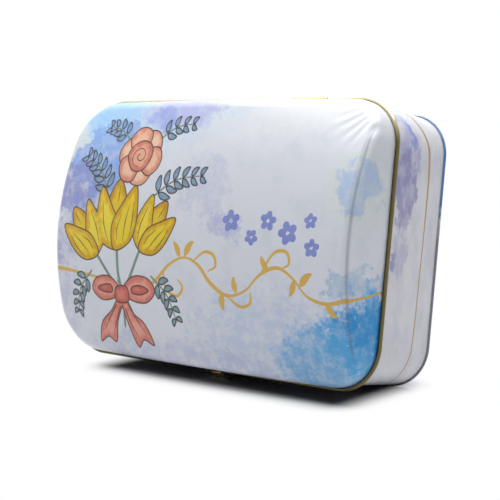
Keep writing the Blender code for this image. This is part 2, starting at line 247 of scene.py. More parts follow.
class Print(Finish):
    # the enamel of a printed sheet, which takes one layer of colour over another
    def __init__(self, name, look):
        super().__init__(name, Specular_IOR_Level=0.3, Coat_Weight=0.25, Coat_Roughness=0.2)
        self.at = self.place()
        self.cloud = self.noise(self.at, look["cloud"], 5.0, 0.62, look.get("stretch"))
        self.fleck = self.noise(self.at, look["fleck"], 4.0, 0.6, look.get("fleckStretch"))
        self.colour = look["ground"]
        low, high, most = look["deepShare"]
        self.over(look["deep"], self.fade(self.cloud, low, high) * most)
        self.wash(look)
        # specks where the white shows through
        low, high, drift = look["specks"]
        self.over(look["white"], self.fade(self.fleck + (self.cloud - 0.5) * drift, low, high) * 0.4)
        self.bump(self.noise(self.at, 1.6, 2.0) + self.cloud * 4.0, 0.006 * mm)

    def over(self, colour, share):
        self.colour = self.blend(self.colour, colour, share)

    def wash(self, look):
        # watercolour blotches. Each has a colour, its strength, a centre and a reach, then how soft its
        # edge is, how far flecks break it up, and how uneven its pigment is
        mottle = self.noise(self.at, look["mottle"], 6.0, 0.68, look.get("stretch"))
        mottle = self.fade(mottle, 0.42, 0.62)
        place = self.ragged(self.at, *look["run"])
        for code, strength, centre, reach, soft, broken, blotched in look["patches"]:
            edge = self.near(place, centre, reach) + (self.fleck - 0.5) * broken
            mask = self.fade(edge, 1 + soft, 1 - soft)
            self.over(code, mask * (strength * (1 - mottle * blotched)))

    def dry(self):
        self.paint(self.colour, 0.26 + self.fleck * 0.1)


studioLook = {
    "dim": {"Color": (0.9, 0.94, 1.0, 1), "Strength": 0.004},
    "white": {"Color": (1, 1, 1, 1), "Strength": 1.0},
}
world = bpy.data.worlds.new("studio")
scene.world = world
world.use_nodes = True
world.node_tree.nodes.clear()
sky = Tree(world.node_tree)
dim, white = (sky.node("ShaderNodeBackground", values=studioLook[key]) for key in ("dim", "white"))
sky.node("ShaderNodeOutputWorld", values={"Surface": sky.either(sky.clearRays(), dim, white)})

# the floor keeps the tin's shadow near it and clears to white round that. Near the tin its colour is
# painted darker, a painted shadow under the real one
floorLook = {
    "white": (0.8, 0.8, 0.81, 1), "paintedShadow": (0.3, 0.3, 0.32, 1), "halfSize": 6.0,
    "middle": (0.0068, 0, 0), "dark": (0.0688, 0.0235, 0), "edge": 0.02,
    "clearFrom": -0.0195, "clearTo": 0.004,
}
floorMesh = bpy.data.meshes.new("floor")
half = floorLook["halfSize"]
floorCorners = [(-half, -half, 0), (half, -half, 0), (half, half, 0), (-half, half, 0)]
floorMesh.from_pydata(floorCorners, [], [(0, 1, 2, 3)])
floorObject = bpy.data.objects.new("floor", floorMesh)
floorObject.location.z = cadLow.z
scene.collection.objects.link(floorObject)
floor = Finish("paleFloor", Roughness=0.9, Specular_IOR_Level=0.0)
spot = floor.node("ShaderNodeTexCoord", output="Object")
spot = floor.vectorSum("ABSOLUTE", floor.vectorSum("SUBTRACT", spot, floorLook["middle"]))
past = floor.vectorSum("SUBTRACT", spot, floorLook["dark"])
past = floor.vectorSum("MAXIMUM", past, (0, 0, 0))
fromTin = floor.vectorSum("LENGTH", past, output="Value") - floorLook["edge"]
# painted shadow: the floor's colour runs from the dark shade colour under the tin to white at the edge of
# the box round it
floorShadowTone = floor.fade(fromTin, -floorLook["edge"], 0.0)
floorShadowTone = floor.blend(floorLook["paintedShadow"], floorLook["white"], floorShadowTone)
floor.feed(floor.shader.inputs["Base Color"], floorShadowTone)
clearShare = floor.fade(fromTin, floorLook["clearFrom"], floorLook["clearTo"])
lit = Sock(floor, floor.shader.outputs[0])
glow = floor.node("ShaderNodeEmission")
floor.feed(floor.tree.nodes["Material Output"].inputs["Surface"],
                 floor.either(clearShare * floor.clearRays(), lit, glow))
floorMesh.materials.append(floor.material)
print("floor and backdrop are down")

# sheet metal shapes
plan = {"length": 194.3, "width": 130.1, "corner": 19.8, "sheet": 0.35}
halfLength = plan["length"] / 2
halfWidth = plan["width"] / 2
sheet = plan["sheet"]
corner = plan["corner"]
# the round corners start here
flatX = halfLength - corner
flatY = halfWidth - corner


def planLine(pitch, hingeSideX=()):
    # points round the body wall's outside: x, y and the outward normal, with extra ones on the hinge side
    cornerSteps = max(6, round(math.pi / 2 * corner / pitch))
    rows = []

    def straight(start, end, normal, extra=()):
        count = max(1, round(math.dist(start, end) / pitch))
        for share in sorted({i / count for i in range(1, count)} | set(extra)):
            rows.append((*(a + (b - a) * share for a, b in zip(start, end)), *normal))

    def turn(centre, startDegrees):
        for step in range(cornerSteps + 1):
            angle = math.radians(startDegrees + 90 * step / cornerSteps)
            nx, ny = math.cos(angle), math.sin(angle)
            rows.append((centre[0] + corner * nx, centre[1] + corner * ny, nx, ny))

    turn((flatX, -flatY), 270)
    straight((halfLength, -flatY), (halfLength, flatY), (1, 0))
    turn((flatX, flatY), 0)
    extra = [(flatX - x) / (2 * flatX) for x in hingeSideX]
    straight((flatX, halfWidth), (-flatX, halfWidth), (0, 1), extra)
    turn((-flatX, flatY), 90)
    straight((-halfLength, flatY), (-halfLength, -flatY), (-1, 0))
    turn((-flatX, -flatY), 180)
    straight((-flatX, -halfWidth), (flatX, -halfWidth), (0, -1))
    return np.array(rows)


def arcPath(centre, radius, startDegrees, endDegrees, steps):
    angles = np.radians(np.linspace(startDegrees, endDegrees, steps + 1))
    return [(centre[0] + radius * math.cos(a), centre[1] + radius * math.sin(a)) for a in angles]


def sheetSides(path, thickness):
    # the two faces of a sheet whose middle follows a path of (offset, height)
    points = np.array(path, float)
    along = np.empty_like(points)
    along[1:-1] = points[2:] - points[:-2]
    along[0] = points[1] - points[0]
    along[-1] = points[-1] - points[-2]
    along /= np.linalg.norm(along, axis=1)[:, None]
    normal = np.c_[-along[:, 1], along[:, 0]] * thickness / 2
    return points + normal, points - normal


def ringAt(line, offset, height):
    return np.c_[line[:, 0] + line[:, 2] * offset, line[:, 1] + line[:, 3] * offset,
                 np.broadcast_to(height, len(line))]


def loftMesh(name, rings, slots, centres=None):
    # faces between rings of equal length; slots gives the material of the faces after each ring
    count = len(rings[0])
    points = np.concatenate(rings)
    around = np.arange(count)
    after = (around + 1) % count
    faces = []
    faceSlots = []
    pairs = list(range(len(rings) - 1)) if centres else list(range(len(rings)))
    for index in pairs:
        here = index * count
        there = (index + 1) % len(rings) * count
        faces += np.c_[here + around, here + after, there + after, there + around].tolist()
        faceSlots += [slots[index]] * count
    if centres:
        for row, centre, slot in ((0, centres[0], slots[0]), (len(rings) - 1, centres[1], slots[-1])):
            points = np.vstack([points, centre])
            hub = np.full(count, len(points) - 1)
            faces += np.c_[row * count + around, row * count + after, hub].tolist()
            faceSlots += [slot] * count
    mesh = bpy.data.meshes.new(name)
    mesh.from_pydata(points.tolist(), [], faces)
    mesh.transform(tinPose)
    mesh.polygons.foreach_set("material_index", faceSlots)
    bm = bmesh.new()
    bm.from_mesh(mesh)
    bmesh.ops.recalc_face_normals(bm, faces=bm.faces)
    bm.to_mesh(mesh)
    bm.free()
    return mesh


def drawnPoints(mesh):
    # the mesh's points back in the tin's own millimetres
    points = np.empty(len(mesh.vertices) * 3)
    mesh.vertices.foreach_get("co", points)
    back = np.array(tinPose.inverted())
    return points.reshape(-1, 3) @ back[:3, :3].T + back[:3, 3]


def addPiece(name, mesh, finishes, body, replaced, sharpDegrees=40):
    # a piece drawn in the tin's frame that rides on one body and stands for CAD nodes
    mesh.shade_smooth()
    mesh.set_sharp_from_angle(angle=math.radians(sharpDegrees))
    for finish in finishes:
        mesh.materials.append(finish.material)
    piece = bpy.data.objects.new(name, mesh)
    scene.collection.objects.link(piece)
    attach(piece, body)
    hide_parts(*replaced)
    return piece


def cutBoxes(piece, boxes, slot):
    # windows through the sheet, each from a low to a high corner
    mesh = bpy.data.meshes.new(piece.name + "Cuts")
    bm = bmesh.new()
    for low, high in boxes:
        made = bmesh.ops.create_cube(bm, size=1)["verts"]
        bmesh.ops.scale(bm, vec=Vector(high) - Vector(low), verts=made)
        bmesh.ops.translate(bm, vec=(Vector(high) + Vector(low)) / 2, verts=made)
    for face in bm.faces:
        face.material_index = slot
    bm.transform(tinPose)
    bm.to_mesh(mesh)
    bm.free()
    for finish in piece.data.materials:
        mesh.materials.append(finish)
    guide = bpy.data.objects.new(piece.name + "Cuts", mesh)
    scene.collection.objects.link(guide)
    modifier = piece.modifiers.new("windows", "BOOLEAN")
    modifier.operation = "DIFFERENCE"
    modifier.object = guide
    modifier.solver = "EXACT"
    bpy.context.view_layer.update()
    cut = bpy.data.meshes.new_from_object(piece.evaluated_get(bpy.context.evaluated_depsgraph_get()))
    piece.modifiers.clear()
    piece.data = cut
    bpy.data.objects.remove(guide)
    return cut


def plate(name, look):
    # lacquered metal that drifts between two tones: its finish, colour, grain and place
    finish = Finish(name, Metallic=look["metallic"])
    place = finish.place()
    cloud = finish.noise(place, look["cloud"], 3.0)
    grain = finish.noise(place, *look["grain"])
    share = finish.fade(cloud * look["cloudy"] + grain * (1 - look["cloudy"]), 0.35, 0.65)
    return finish, finish.blend(look["deep"], look["light"], share), grain, place


goldLook = {
    "metallic": 0.85, "deep": "#A88B48", "light": "#C4AA68", "rough": 0.24,
    "cloud": 9.0, "cloudy": 0.6, "grain": (1.2, 4.0, 0.6, (1, 1, 0.25)),
}
gold, goldShade, goldGrain = plate("goldLacquer", goldLook)[:3]
gold.paint(goldShade, goldLook["rough"] + goldGrain * 0.14)
gold.bump(goldGrain, 0.004 * mm)

# the rolled edge: painted shade deep in its groove, painted paler on its outside, and a painted highlight
# along the hinge side
rimLook = {"grooveShade": "#5A5236", "middle": "#6E6340", "paintedLight": "#9C8C5A", "hingeSide": "#E4D6AC",
           "cloud": 7.0, "grain": 1.2, "rough": 0.1, "hingeFrom": 46, "hingeTo": 62}
rim = Finish("rolledEdge", Metallic=0.85)
rimPlace = rim.place()
rimCloud = rim.noise(rimPlace, rimLook["cloud"], 3.0)
rimGrain = rim.noise(rimPlace, rimLook["grain"], 4.0, 0.6)
rimY, rimZ = rim.split(rimPlace)[1:]
rimZ = rimZ + (rimCloud - 0.5) * 0.5
# painted shade: the roll is darker towards its groove and paler on its outside
rimShade = rim.blend(rimLook["grooveShade"], rimLook["middle"], rim.fade(rimZ, 1.0, 0.5))
rimShade = rim.blend(rimShade, rimLook["paintedLight"], rim.fade(rimZ + (rimGrain - 0.5) * 0.3, 0.2, -0.7))
# painted highlight: the roll is paler along the hinge side
rimShade = rim.blend(rimShade, rimLook["hingeSide"],
                     rim.fade(rimY, rimLook["hingeFrom"], rimLook["hingeTo"]) * 0.92)
rim.paint(rimShade, rimLook["rough"] + rimGrain * 0.1)
rim.bump(rimGrain, 0.002 * mm)

# straps and catch, with their spot welds
giltLook = {
    "metallic": 0.9, "deep": "#AC9152", "light": "#C6AE70", "burnt": "#7C6636", "rough": 0.28,
    "cloud": 6.0, "cloudy": 0.75, "grain": (0.35, 3.0, 0.5, (1, 0.3, 0.3)),
    "welds": [(-53, 65.4, -9.5), (-43, 65.4, -9.5), (43, 65.4, -9.5), (53, 65.4, -9.5), (0, -65.6, -15)],
    "weldSize": (1.25, 4, 1.25),
}
gilt, giltShade, giltGrain, giltPlace = plate("giltPlate", giltLook)
weld = gilt.near(giltPlace, giltLook["welds"][0], giltLook["weldSize"])
for spot in giltLook["welds"][1:]:
    weld = weld & gilt.near(giltPlace, spot, giltLook["weldSize"])
weldPit = gilt.fade(weld, 1.0, 0.6)
weldRing = gilt.fade(abs(weld - 1.0), 0.35, 0.05)
gilt.paint(gilt.blend(giltShade, giltLook["burnt"], weldRing * 0.55),
           giltLook["rough"] + giltGrain * 0.14 + weldPit * 0.12)
gilt.bump(giltGrain * 0.1 - weldPit + weldRing * 0.3, 0.06 * mm)

wireLook = {"deep": "#B4B5B6", "light": "#E2E3E4", "draw": 0.4, "rough": 0.1}
wire = Finish("brightWire", Metallic=1.0)
wireDraw = wire.noise(wire.place(), wireLook["draw"], 3.0, 0.6, (0.1, 1, 1))
wire.paint(wire.blend(wireLook["deep"], wireLook["light"], wire.fade(wireDraw, 0.3, 0.7)),
           wireLook["rough"] + wireDraw * 0.12)
wire.bump(wireDraw, 0.006 * mm)
print("plain metals are mixed")

# lid
lid = {
    "pitch": 1.1,
    "step": 1.0, "curl": 1.1, "curlEnd": 112,
    "skirt": 3.5, "side": 13.8, "crown": 27.1,
    "endDrop": 0.8, "cornerDrop": 8.0, "endLean": 0.12, "shoulder": 4.5,
    "outsideRings": (88, 9, 6), "insideRings": (10, 4, 3),  # of the top, the shoulder and the wall
    "hingeSpacing": 96.0, "hingeWidth": 20.0, "windowTop": 1.75,
    "claspHalf": 4.65, "claspGap": 3.5,
}
curlLine = lid["curl"] - sheet / 2
curlOffset = lid["step"] + curlLine - sheet / 2


def crownAt(x, y):
    across = np.minimum(np.abs(y) / (halfWidth + lid["step"]), 1)
    along = np.minimum(np.abs(x) / (halfLength + lid["step"]), 1)
    drop = (lid["crown"] - lid["side"]) * across ** 2 + lid["endDrop"] * along ** 2
    return lid["crown"] - drop - lid["cornerDrop"] * (across * along) ** 2


def lidRings(line, depth, topCount, shoulderCount, wallCount):
    # rings of one face of the lid, from its middle out to the skirt
    x, y, nx, ny = line.T
    wallTop = crownAt(x, y) - lid["shoulder"]
    inset = lid["endLean"] * nx ** 2 * (wallTop - lid["skirt"])
    shoulderRings = []
    for turn in np.radians(np.linspace(90, 0, shoulderCount + 1)):
        offset = lid["step"] - inset - lid["shoulder"] + (lid["shoulder"] - depth) * math.cos(turn)
        px, py = x + nx * offset, y + ny * offset
        drop = lid["shoulder"] * (1 - math.sin(turn)) + depth * math.sin(turn)
        shoulderRings.append(np.c_[px, py, crownAt(px, py) - drop])
    wallRings = []
    for share in np.linspace(1, 0, wallCount + 1)[1:-1]:
        offset = lid["step"] - inset * share - depth
        wallRings.append(ringAt(line, offset, lid["skirt"] + (wallTop - lid["skirt"]) * share))
    topRings = []
    even = (np.arange(topCount) + 0.6) / (topCount + 0.2)
    if topCount > 20:
        even = even * 1.15 - 0.15 * even ** 2  # closer together towards the shoulder
    for share in even:
        px, py = shoulderRings[0][:, 0] * share, shoulderRings[0][:, 1] * share
        topRings.append(np.c_[px, py, crownAt(px, py) - depth])
    return topRings, shoulderRings, wallRings


def bell(value, width):
    return np.exp(-(value / width) ** 2)


def ease(value, start, end):
    share = np.clip((value - start) / (end - start), 0, 1)
    return share * share * (3 - 2 * share)


marks = {
    "wave": 0.10,
    "pucker": 0.13, "puckerAt": (98, 65), "puckerTurn": 27, "puckerShare": (1.0, 0.55, 0.6, 0.45),
    "crease": 0.45, "creaseAt": 94.4, "creaseWidth": 0.9, "creaseShare": (1.0, 0.7),
    "knock": 0.35, "knockAt": (95.0, 51.0), "knockSize": (2.2, 2.4),
}


def pressedMarks(points):
    # slight oil-canning, the puckers that drawing leaves at the corners, and the creases beside the ends
    x, y, z = points.T
    lift = marks["wave"] * np.sin(x / 17 + y / 31 + 0.6) * np.cos(y / 13 - x / 47) * ease(z, 11, 15)
    move = np.zeros_like(points)
    for index, (sideX, sideY) in enumerate(((1, 1), (1, -1), (-1, 1), (-1, -1))):
        awayX = sideX * x - marks["puckerAt"][0]
        awayY = sideY * y - marks["puckerAt"][1]
        away = np.hypot(awayX, awayY)
        angle = np.degrees(np.arctan2(-awayY, -awayX))
        fan = ease(angle, 8, 26) * ease(-angle, -82, -58)
        reach = ease(away, 7, 13) * ease(-away, -33, -15)
        ridges = np.cos(np.radians(angle * (marks["puckerTurn"] + 2 * index) + 40 * index))
        lift += marks["puckerShare"][index] * marks["pucker"] * ridges * fan * reach * ease(z, 5.0, 8.0)
    # the vault is set in along each end, deepest where it meets the corner
    for side, strength in zip((1, -1), marks["creaseShare"]):
        fold = side * x - marks["creaseAt"]
        deep = 0.45 + 0.55 * bell(y - 42, 14) + 0.35 * bell(y + 44, 10)
        line = bell(fold, marks["creaseWidth"]) - 0.5 * bell(fold + 2.4, 1.6)
        sink = strength * marks["crease"] * line * deep * ease(-np.abs(y), -55, -49) * ease(z, 9, 12)
        move[:, 0] -= side * sink * 0.6
        lift -= sink
    # one knock beside the upper right corner
    atX, atY = marks["knockAt"]
    sizeX, sizeY = marks["knockSize"]
    knock = marks["knock"] * bell(x - atX, sizeX) * bell(y - atY, sizeY) * ease(z, 6, 10)
    move[:, 0] -= knock
    move[:, 2] += lift - knock
    return points + move


lidLine = planLine(lid["pitch"])
skirtLine = lid["step"] - sheet / 2
rimPath = [(skirtLine, lid["skirt"]), (skirtLine, lid["skirt"] / 2), (skirtLine, curlLine / 3)]
curlSteps = 20
rimPath += arcPath((curlOffset, 0), curlLine, 180, 360 + lid["curlEnd"], curlSteps)
rimOut, rimIn = sheetSides(rimPath, sheet)
topOut, shoulderOut, wallOut = lidRings(lidLine, 0, *lid["outsideRings"])
topIn, shoulderIn, wallIn = lidRings(lidLine, sheet, *lid["insideRings"])
outer = topOut + shoulderOut + wallOut + [ringAt(lidLine, o, h) for o, h in rimOut]
inner = topIn + shoulderIn + wallIn + [ringAt(lidLine, o, h) for o, h in rimIn]
skirtRings = 2
printedRings = len(topOut) + len(shoulderOut) + len(wallOut) + skirtRings
lidRingList = outer + inner[::-1]
# the sheet's outside is printed, and both faces of the roll are the rolled edge's lacquer
lidSlots = np.repeat((0, 2, 1), (printedRings, len(outer) + curlSteps - printedRings,
                                 len(lidRingList) - len(outer) - curlSteps)).tolist()
lidMesh = loftMesh("lidShell", [pressedMarks(ring) for ring in lidRingList], lidSlots,
                   [(0, 0, lid["crown"]), (0, 0, lid["crown"] - sheet)])
print("lid is drawn:", len(lidMesh.polygons), "faces")


# print on the lid: drawn lines and shapes
def rounded(points, closed=False, steps=8):
    # a smooth line through points
    points = np.array(points, float)
    count = len(points)
    if not closed:
        points = np.vstack([2 * points[0] - points[1], points, 2 * points[-1] - points[-2]])
    out = []
    for index in range(count if closed else count - 1):
        spots = [(index + k) % count if closed else index + 1 + k for k in (-1, 0, 1, 2)]
        a, b, c, d = points[spots]
        for share in np.arange(steps) / steps:
            out.append(0.5 * (2 * b + (c - a) * share + (2 * a - 5 * b + 4 * c - d) * share ** 2
                              + (3 * b - a - 3 * c + d) * share ** 3))
    if not closed:
        out.append(points[-2])
    return np.array(out)


def moved(points, at, size, turnDegrees, flip=1):
    a = math.radians(turnDegrees)
    points = np.array(points, float) * (flip * size, size)
    return points @ [[math.cos(a), math.sin(a)], [-math.sin(a), math.cos(a)]] + at


def leafShape(start, end, width, bend=0.0):
    # a pointed leaf from its stalk to its tip
    start, end = np.array(start, float), np.array(end, float)
    along = end - start
    side = np.array([-along[1], along[0]]) / np.linalg.norm(along)
    bow = side * bend
    low, high = start + along * 0.3 + bow * 0.7, start + along * 0.68 + bow
    lowHalf, highHalf = side * width * 0.5, side * width * 0.4
    return rounded([start, low + lowHalf, high + highHalf, end, high - highHalf, low - lowHalf], True, 6)


def strokeLine(points, widths, steps=8):
    line = rounded(points, steps=steps)
    knots = np.linspace(0, 1, len(widths))
    return line, np.interp(np.linspace(0, 1, len(line)), knots, widths)


# closed outlines and open lines, each under the name of the layer that they are painted in
shapes = defaultdict(list)
strokes = defaultdict(list)

# tulips: a middle petal behind, and two that wrap round it
tulipPetals = {
    "tulipBack": [(0, 0.02), (-0.2, 0.3), (-0.2, 0.66), (0.02, 1.0), (0.2, 0.66), (0.2, 0.3)],
    "tulipSide": [(0.02, 0), (-0.3, 0.12), (-0.4, 0.46), (-0.33, 0.92), (-0.1, 0.62), (0.06, 0.3)],
    "tulipFront": [(-0.06, 0), (-0.1, 0.34), (0.08, 0.62), (0.36, 0.88), (0.4, 0.42), (0.26, 0.1)],
}
tulipVeins = [[(0.12, 0.12), (0.17, 0.36), (0.25, 0.62)], [(0.25, 0.16), (0.31, 0.4), (0.33, 0.64)],
              [(-0.18, 0.14), (-0.26, 0.38), (-0.29, 0.7)], [(0.0, 0.14), (0.01, 0.3), (0.09, 0.47)],
              [(0.02, 0.68), (0.03, 0.8), (0.03, 0.9)]]
tulips = [((-47, -12), 36, 6, 1), ((-62, -16), 31, 38, -1), ((-30, -12), 30, -30, 1)]
for tulip in tulips:
    for layer, outline in tulipPetals.items():
        shapes[layer].append(moved(rounded(outline, True, 9), *tulip))
    for vein in tulipVeins:
        line, width = strokeLine(vein, (0.12, 0.3, 0.1))
        strokes["ink"].append((moved(line, *tulip), width))

# one full rose above them
rose = {"at": (-40, 36), "size": 15}
for index in range(6):
    turn = index * 60 + 14
    outline = [(-0.30, 0.22), (-0.52, 0.7), (-0.2, 1.02), (0.22, 0.98), (0.5, 0.68), (0.28, 0.2)]
    layer = "roseBack" if index % 2 else "roseMid"
    shapes[layer].append(moved(rounded(outline, True, 8), rose["at"], rose["size"], turn))
heart = [(math.cos(a) * (0.56 + 0.05 * math.sin(3 * a)), math.sin(a) * 0.54)
         for a in np.linspace(0, 2 * math.pi, 10)[:-1]]
shapes["roseFront"].append(moved(rounded(heart, True, 8), rose["at"], rose["size"], 10))
spiral = [(0.42 * t / 9 * math.cos(t * 1.25), 0.40 * t / 9 * math.sin(t * 1.25))
          for t in np.linspace(1.5, 8.6, 16)]
line, width = strokeLine(spiral, (0.25, 0.3, 0.2, 0.3, 0.12))
strokes["ink"].append((moved(line, rose["at"], rose["size"], 20), width))

# fronds: leaflets in pairs along a rib
fronds = [
    {"rib": [(-56, 14), (-66, 28), (-80, 36)], "leaflets": 6, "size": (9.5, 3.6), "layer": "leafBack"},
    {"rib": [(-27, 14), (-12, 24), (6, 27)], "leaflets": 6, "size": (9.5, 3.6), "layer": "leafBack"},
    {"rib": [(-30, 44), (-20, 51), (-8, 53)], "leaflets": 4, "size": (8, 3.4), "layer": "leafBack"},
    {"rib": [(-50, 44), (-60, 50), (-70, 52)], "leaflets": 4, "size": (8, 3.4), "layer": "leafBack"},
    {"rib": [(-22, -24), (-12, -32), (-6, -44)], "leaflets": 5, "size": (8, 3.4), "layer": "leafFront"},
    {"rib": [(-66, -24), (-76, -34), (-80, -46)], "leaflets": 5, "size": (8, 3.4), "layer": "leafFront"},
]
for frond in fronds:
    rib = rounded(frond["rib"], steps=12)
    leafLong, leafWide = frond["size"]
    strokes["stem"].append((rib, np.linspace(0.6, 0.3, len(rib))))
    for index in range(frond["leaflets"]):
        share = (index + 1) / (frond["leaflets"] + 0.4)
        spot = share * (len(rib) - 1)
        low = int(min(spot, len(rib) - 2))
        along = rib[low + 1] - rib[low]
        root = rib[low] + along * (spot - low)
        heading = math.degrees(math.atan2(along[1], along[0]))
        for side in (1, -1):
            a = math.radians(heading + side * (52 - 14 * share))
            out = np.array([math.cos(a), math.sin(a)])
            tip = root + out * leafLong * (1.05 - 0.45 * share)
            leaf = leafShape(root + out * 0.9, tip, leafWide * (1 - 0.3 * share), side * 0.5)
            shapes[frond["layer"]].append(leaf)

# stems and ribbon
strokes["stem"] += [
    strokeLine([(-47, -12), (-46, -24), (-43, -36), (-44, -50)], (0.9, 0.9, 0.8)),
    strokeLine([(-61, -16), (-52, -26), (-40, -38), (-33, -52)], (0.8, 0.9, 0.8)),
    strokeLine([(-31, -12), (-38, -26), (-46, -38), (-53, -52)], (0.8, 0.9, 0.8)),
]
ribbon = {
    "ribbonBack": [
        [(-44, -33), (-52, -26), (-62, -27), (-66, -33), (-60, -38), (-51, -37)],
        [(-44, -33), (-36, -25), (-25, -25), (-20, -31), (-26, -37), (-36, -37)],
        [(-46, -35), (-53, -43), (-62, -50), (-66, -60), (-59, -57), (-53, -59), (-49, -48), (-43, -37)],
        [(-42, -35), (-37, -43), (-29, -48), (-24, -58), (-31, -56), (-36, -60), (-41, -50), (-45, -37)]],
    "ribbonFront": [
        [(-48, -31), (-40, -30.5), (-39.5, -37.5), (-48.5, -38)],
        [(-52, -30), (-58, -30.5), (-62, -32.5), (-57, -34), (-51, -33.5)],
        [(-36, -30), (-30, -29), (-24.5, -31), (-30, -33.5), (-36.5, -33)]],
}
for layer, outlines in ribbon.items():
    shapes[layer] += [rounded(outline, True, 8) for outline in outlines]
for fold in ([(-49, -40), (-55, -47), (-61, -54)], [(-39, -40), (-34, -47), (-29, -53)],
             [(-46, -41), (-50, -48), (-54, -55)], [(-42, -42), (-39, -49), (-35, -55)]):
    strokes["ink"].append(strokeLine(fold, (0.3, 0.3, 0.1)))

# the gold line: in from the left, behind the flowers, then a leafy scroll, and out over the right end
strokes["goldRun"] += [
    strokeLine([(-99, -24), (-88, -24.4), (-74, -25.6), (-60, -27)], (0.85, 0.95, 0.75, 0.6)),
    strokeLine([(-36, -27.5), (-28, -28.6), (-20, -26), (-10, -17), (0, -13), (9, -16), (17, -24),
                (27, -29), (38, -26), (47, -18), (57, -14), (66, -18), (74, -25.5), (84, -28),
                (94, -25.8), (101, -24.4), (109, -23.2), (119, -20.5)],
               (0.45, 0.75, 1.0, 0.7, 0.55, 0.9, 1.05, 0.7, 0.55, 0.9, 0.7, 0.45, 0.85, 0.95, 0.6,
                0.5, 0.45)),
]
for curlUp in (
        [(6, -14.2), (13, -9.5), (19, -11), (20, -16), (16, -18.2)],
        [(27, -29.2), (35, -33.5), (41, -31.5), (41.5, -26.8)],
        [(48, -17), (55, -7.5), (62, -6.5), (64, -11.5), (60.5, -14)],
        [(-14, -20.5), (-12, -29), (-5, -32), (-1, -27.5), (-4, -24)]):
    strokes["goldTwig"].append(strokeLine(curlUp, (0.4, 0.8, 0.75, 0.35)))
for start, end, width, bend in (
        ((0, -12.4), (6, -4.5), 3.6, 0.8), ((-3, -13), (-8, -5.5), 3.2, -0.6),
        ((24, -28), (25, -36.5), 3.4, -0.6), ((33, -27.6), (31.5, -19.5), 3.2, 0.6),
        ((70, -21.5), (77, -15), 3.6, 0.7), ((67, -18.8), (64, -26.5), 3.2, 0.6),
        ((52, -15.6), (47.5, -9), 3.0, 0.6), ((84, -28), (90, -34), 3.0, -0.5)):
    shapes["goldLeaf"].append(leafShape(start, end, width, bend))
# small blue blossoms scattered above the scroll
blossoms = [(28, 6, 5.2, 10), (41, -1, 3.8, 40), (50, 7, 4.6, 65),
            (62, 2, 5.4, 20), (74, 8, 3.6, 80), (76, -4, 4.2, 0)]
for x, y, size, turn in blossoms:
    for index in range(5):
        petal = rounded([(0, 0.16), (-0.36, 0.55), (-0.2, 0.98), (0.2, 0.98), (0.36, 0.55)], True, 6)
        shapes["tinyPetal"].append(moved(petal, (x, y), size, turn + index * 72))

fieldReach = 9.0  # the distance in millimetres that stands for nothing near
fieldMargin = 4.0  # distances are measured this far round a line


def offSegments(starts, ends, u, v):
    # for the points that a run of segments may touch: their share along each segment and offset from it
    corners = np.vstack([starts, ends])
    low, high = corners.min(0) - fieldMargin, corners.max(0) + fieldMargin
    pick = np.nonzero((u > low[0]) & (u < high[0]) & (v > low[1]) & (v < high[1]))[0]
    point = np.c_[u[pick], v[pick]][:, None, :]
    edge = ends - starts
    share = np.clip(((point - starts) * edge).sum(2) / (edge ** 2).sum(1), 0, 1)
    return pick, point, edge, share, point - starts - edge * share[..., None]


def shapeDistance(outlines, u, v):
    # signed distance in millimetres to the nearest of some closed outlines, negative inside
    best = np.full(len(u), fieldReach)
    for outline in outlines:
        a, b = outline, np.roll(outline, -1, axis=0)
        pick, point, edge, share, off = offSegments(a, b, u, v)
        distance = np.linalg.norm(off, axis=2).min(1)
        px, py = point[..., 0], point[..., 1]
        straddles = (a[:, 1] > py) != (b[:, 1] > py)
        with np.errstate(divide="ignore", invalid="ignore"):
            crossing = a[:, 0] + (py - a[:, 1]) * edge[:, 0] / edge[:, 1]
        inside = (straddles & (px < crossing)).sum(1) % 2 == 1
        best[pick] = np.minimum(best[pick], np.where(inside, -distance, distance))
    return best


def strokeDistance(lines, u, v):
    # for the nearest line: distance with a side, plain distance, and half the line's width there
    found = np.tile((fieldReach, fieldReach, 0.3), (len(u), 1))
    for line, widths in lines:
        pick, point, edge, share, off = offSegments(line[:-1], line[1:], u, v)
        distance = np.linalg.norm(off, axis=2)
        nearest = distance.argmin(1)
        row = np.arange(len(pick))
        plain = distance[row, nearest]
        side = np.sign(edge[nearest, 0] * off[row, nearest, 1] - edge[nearest, 1] * off[row, nearest, 0])
        half = widths[nearest] + (widths[nearest + 1] - widths[nearest]) * share[row, nearest]
        closer = plain < found[pick, 1]
        found[pick[closer]] = np.c_[plain * side, plain, half][closer]
    return found


def storeField(mesh, name, values):
    # one value, or one vector, for each point of a mesh
    kind, key = ("FLOAT", "value") if values.ndim == 1 else ("FLOAT_VECTOR", "vector")
    mesh.attributes.new(name, kind, "POINT").data.foreach_set(key, values.astype(np.float32).ravel())


def unrolled(points):
    # where a point of the lid's outside lies on the flat sheet that the print was laid on
    x, y, z = points.T
    drop = np.clip(crownAt(x, y) - 2.2 - z, 0, None)
    outX = np.sign(x) * np.clip(np.abs(x) - flatX, 0, None)
    outY = np.sign(y) * np.clip(np.abs(y) - flatY, 0, None)
    away = np.maximum(np.hypot(outX, outY), 1e-6)
    return x + outX / away * drop, y + outY / away * drop


def layPrint(mesh):
    u, v = unrolled(drawnPoints(mesh))
    for name, outlines in shapes.items():
        storeField(mesh, name, shapeDistance(outlines, u, v))
    for name, lines in strokes.items():
        storeField(mesh, name, strokeDistance(lines, u, v))


